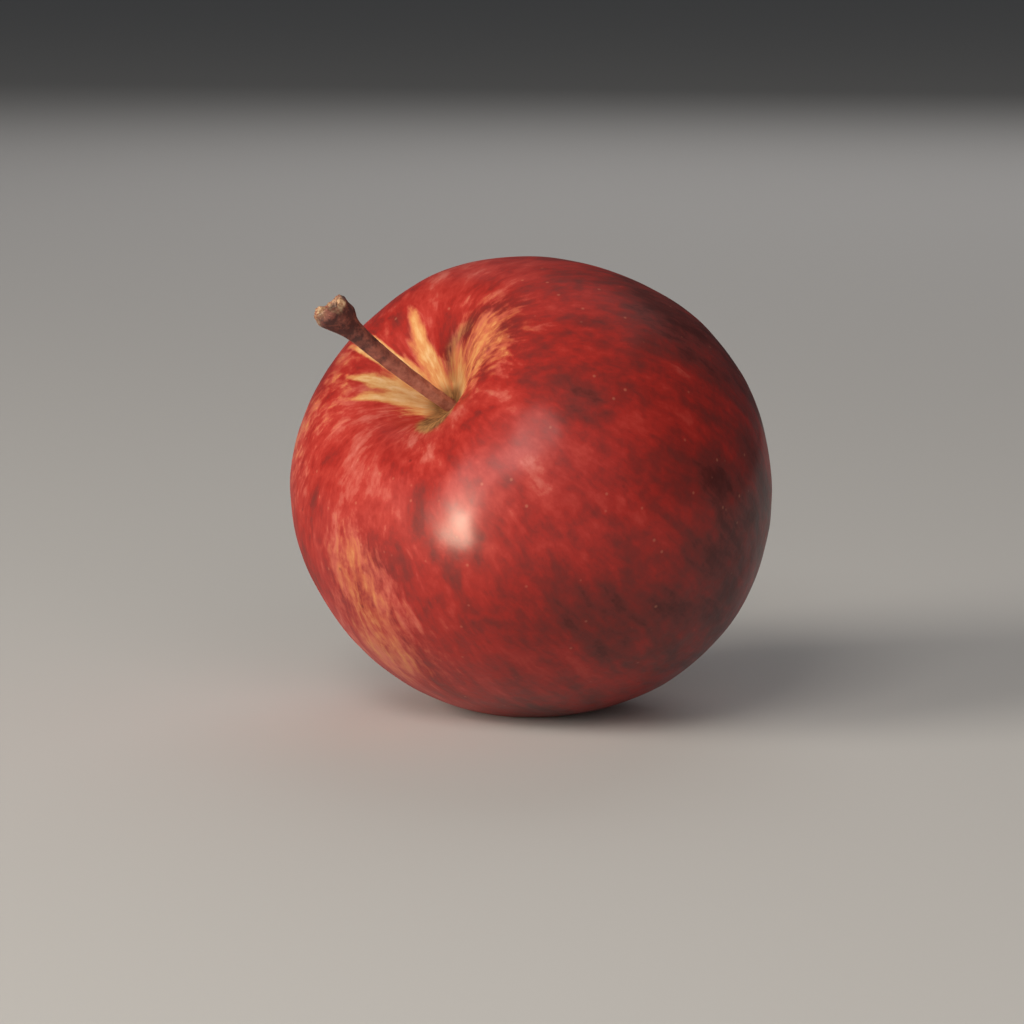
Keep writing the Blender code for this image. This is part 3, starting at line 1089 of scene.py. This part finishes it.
@dataclass
class Calyx:
    """Dried calyx in the basin: a button, five curled sepals and a tuft of stamens, in millimetres."""

    button_radius: float = 2.6
    button_height: float = 0.5
    seat_depth: float = 1.0
    sepal_count: int = 5
    sepal_length: float = 6.4
    sepal_width: float = 2.9
    sepal_tip: float = 0.1
    sepal_cup: float = 0.25
    sepal_thickness: float = 0.4
    sepal_start: float = 1.7
    root: float = 0.3
    sepal_curl: float = 98.0
    crinkle: float = 0.16
    sway: float = 0.35
    stamen_count: int = 17
    stamen_length: float = 3.0
    stamen_radius: float = 0.17
    stamen_sides: int = 7
    stamen_cuts: int = 12
    tuft_radius: float = 1.55
    finish: DrySepal = field(default_factory=DrySepal)

    def sepal(self, number: int) -> BMesh:
        """One sepal: a pointed, crinkled blade that curls outwards.

        Args:
            number: which of the sepals it is.

        Returns:
            The sepal, on the calyx's own axis.
        """
        bm = bmesh.new()
        bmesh.ops.create_grid(bm, x_segments=12, y_segments=26, size=0.5)
        bmesh.ops.solidify(bm, geom=bm.faces[:], thickness=1)
        curl = math.radians(self.sepal_curl * (1 + 0.09 * math.sin(2.4 * number)))
        bend_radius = self.sepal_length / curl
        for vertex in bm.verts:
            share = vertex.co.y + 0.5
            bend = curl * share
            side = 2 * vertex.co.x
            width = self.sepal_width * (1 - (1 - self.sepal_tip) * share**1.6)
            crinkle = self.crinkle * noise.noise(Vector((side * 1.6, share * 7, number * 5.3)))
            lift = vertex.co.z * self.sepal_thickness - self.sepal_cup * side**2 * (1 - share) + crinkle
            out = self.sepal_start + bend_radius * (1 - math.cos(bend)) + lift * math.cos(bend)
            up = bend_radius * math.sin(bend) - lift * math.sin(bend) - self.root
            sway = self.sway * share**2 * math.sin(1.7 * number)
            vertex.co = (out, side * width / 2 + sway, up)
        turned = Matrix.Rotation(math.tau * number / self.sepal_count, 4, "Z")
        bmesh.ops.transform(bm, matrix=turned, verts=bm.verts)
        return bm

    def stamen(self, number: int) -> BMesh:
        """One withered stamen: a thin bent thread with a swollen tip.

        Args:
            number: which of the stamens it is.

        Returns:
            The stamen, on the calyx's own axis.
        """
        bm = rod(self.stamen_sides, self.stamen_cuts)
        golden = math.radians(137.5) * number
        ring = self.tuft_radius * math.sqrt((number + 0.6) / self.stamen_count)
        length = self.stamen_length * (0.8 + 0.2 * math.sin(5 * number))
        for vertex in bm.verts:
            share = vertex.co.z
            thick = self.stamen_radius * (1 + 0.9 * swell(share - 0.95, 0.08) - 0.3 * share)
            spread = ring + 0.5 * share**2 * math.sin(3 * number)
            twist = golden + 0.35 * share * math.sin(7 * number)
            vertex.co = (vertex.co.x * thick + spread * math.cos(twist),
                         vertex.co.y * thick + spread * math.sin(twist), share * length - self.root)
        return bm

    def build(self, fruit: Fruit) -> Object:
        """Model the calyx in the fruit's basin.

        Args:
            fruit: the fruit that it sits in.

        Returns:
            The calyx's object.
        """
        bm = bmesh.new()
        thick = self.button_height + self.seat_depth
        bmesh.ops.create_cone(bm, cap_ends=True, segments=48, radius1=self.button_radius,
                              radius2=0.92 * self.button_radius, depth=thick,
                              matrix=Matrix.Translation((0, 0, thick / 2 - self.seat_depth)))
        parts = [self.sepal(number) for number in range(self.sepal_count)]
        parts += [self.stamen(number) for number in range(self.stamen_count)]
        for part in parts:
            carrier = bpy.data.meshes.new("carrier")
            part.to_mesh(carrier)
            part.free()
            bm.from_mesh(carrier)
            bpy.data.meshes.remove(carrier)
        facing_out = Matrix.Translation(fruit.skin_point(math.pi, 0)) @ Matrix.Rotation(math.pi, 4, "X")
        bmesh.ops.transform(bm, matrix=fruit.placement() @ facing_out, verts=bm.verts)
        bmesh.ops.recalc_face_normals(bm, faces=bm.faces)
        return finished(bm, "dried_calyx", [self.finish.material()])


class Gives(Enum):
    """What a lamp gives: light on matt surfaces, a gleam on glossy ones, or both."""

    BOTH = (True, True)
    LIGHT = (True, False)
    GLEAM = (False, True)


@dataclass(frozen=True)
class Lamp:
    """Soft rectangular lamp, aimed at the fruit.

    Attributes:
        name: what it does.
        side: angle round the fruit from the camera's side, towards the left, in degrees.
        height: angle above the floor, in degrees.
        distance: metres from the fruit.
        size: width and height in metres.
        power: watts.
        colour: sRGB hex colour.
        gives: light, a gleam or both.
    """

    name: str
    side: float
    height: float
    distance: float
    size: tuple[float, float]
    power: float
    colour: str
    gives: Gives = Gives.BOTH

    def hang(self, target: Vector) -> Object:
        """Place the lamp and aim it.

        Args:
            target: the point that it shines at.

        Returns:
            The lamp's object.
        """
        data = bpy.data.lights.new(self.name, "AREA")
        data.shape = "RECTANGLE"
        data.size, data.size_y = self.size
        data.energy = self.power
        data.color = linear(self.colour)[:3]
        side, height = math.radians(self.side), math.radians(self.height)
        towards = Vector((-math.sin(side) * math.cos(height), -math.cos(side) * math.cos(height),
                          math.sin(height)))
        lamp = bpy.data.objects.new(self.name, data)
        lamp.location = target + towards * self.distance
        lamp.rotation_euler = towards.to_track_quat("Z", "Y").to_euler()
        lamp.visible_diffuse, lamp.visible_glossy = self.gives.value
        bpy.context.scene.collection.objects.link(lamp)
        return lamp


@dataclass
class Studio:
    """Plain pale floor, soft lamps and the camera at the photograph's angle."""

    camera_height: float = 9.0
    camera_distance: float = 0.65
    lens: float = 145.3
    sensor: float = 36.0
    fruit_pixel: tuple[float, float] = (535.0, 491.1)
    frame_pixels: int = 1024
    floor_size: float = 14.0
    world_colour: str = "#C9CCD2"
    world_strength: float = 0.1
    lamps: tuple[Lamp, ...] = (
        Lamp("window_key", 65, 20, 1.2, (0.55, 0.7), 12.3, "#FFF5E8", Gives.LIGHT),
        Lamp("low_glint", 50, 5, 0.8, (0.2, 0.27), 7.1, "#FFF2D4", Gives.GLEAM),
        Lamp("soft_gleam", 50, 24, 1.0, (0.6, 0.5), 3.5, "#FFEDE6", Gives.GLEAM),
        Lamp("front_sheen", 22, 41, 1.0, (0.4, 0.4), 3.0, "#FFF6EC"),
        Lamp("front_fill", -10, 22, 1.4, (1.2, 1.2), 6.4, "#FFF8F2", Gives.LIGHT),
        Lamp("top_gleam", 190, 58, 1.3, (1.1, 0.9), 1.9, "#F8F0EA", Gives.GLEAM),
        Lamp("back_fill", 190, 36, 1.4, (1.0, 1.0), 4.4, "#F6F2F2", Gives.LIGHT),
    )

    def build(self, middle: Vector) -> None:
        """Set the floor, the lamps, the world and the camera round the fruit.

        Args:
            middle: the fruit's middle, in the row frame.
        """
        bm = bmesh.new()
        bmesh.ops.create_grid(bm, x_segments=1, y_segments=1, size=self.floor_size / 2)
        floor = finished(bm, "studio_floor", [PaleFloor().material()])
        for lamp in self.lamps:
            lamp.hang(middle)
        world = bpy.data.worlds.new("studio_world")
        world.use_nodes = True
        background = world.node_tree.nodes["Background"]
        background.inputs["Color"].default_value = linear(self.world_colour)
        background.inputs["Strength"].default_value = self.world_strength
        bpy.context.scene.world = world
        bpy.context.scene.view_settings.view_transform = "Standard"
        self.place_camera(middle)

    def place_camera(self, middle: Vector) -> None:
        """Aim the camera so that the fruit's middle falls on its pixel.

        Args:
            middle: the fruit's middle, in the row frame.
        """
        height = math.radians(self.camera_height)
        back = Vector((0, -math.cos(height), math.sin(height)))
        up = Vector((0, math.sin(height), math.cos(height)))
        metres_per_pixel = self.camera_distance * self.sensor / (self.lens * self.frame_pixels)
        right_of_centre = (self.fruit_pixel[0] - self.frame_pixels / 2) * metres_per_pixel
        above_centre = (self.frame_pixels / 2 - self.fruit_pixel[1]) * metres_per_pixel
        data = bpy.data.cameras.new("studio_camera")
        data.lens = self.lens
        data.sensor_width = self.sensor
        camera = bpy.data.objects.new("studio_camera", data)
        aim = middle - Vector((right_of_centre, 0, 0)) - up * above_centre
        camera.location = aim + back * self.camera_distance
        camera.rotation_euler = back.to_track_quat("Z", "Y").to_euler()
        bpy.context.scene.collection.objects.link(camera)
        bpy.context.scene.camera = camera


def clear_startup() -> None:
    """Remove whatever the scene holds at the start."""
    for thing in list(bpy.data.objects):
        bpy.data.objects.remove(thing, do_unlink=True)


def main() -> None:
    """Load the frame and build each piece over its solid."""
    logging.basicConfig(level=logging.INFO, format="%(name)s: %(message)s")
    clear_startup()
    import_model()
    fruit = Fruit()
    pieces = (
        (fruit.build(), "fruit", "skin"),
        (Stalk().build(fruit), "stalk", "stalk_bark"),
        (Calyx().build(fruit), "calyx", "dry_sepal"),
    )
    for piece, node, slot in pieces:
        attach(piece, "root")
        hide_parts(node)
        log.info("%s replaces %s with %d faces", piece.name, node, len(piece.data.polygons))
    Studio().build(Vector(fruit.middle) * MM)


if __name__ == "__main__":
    main()
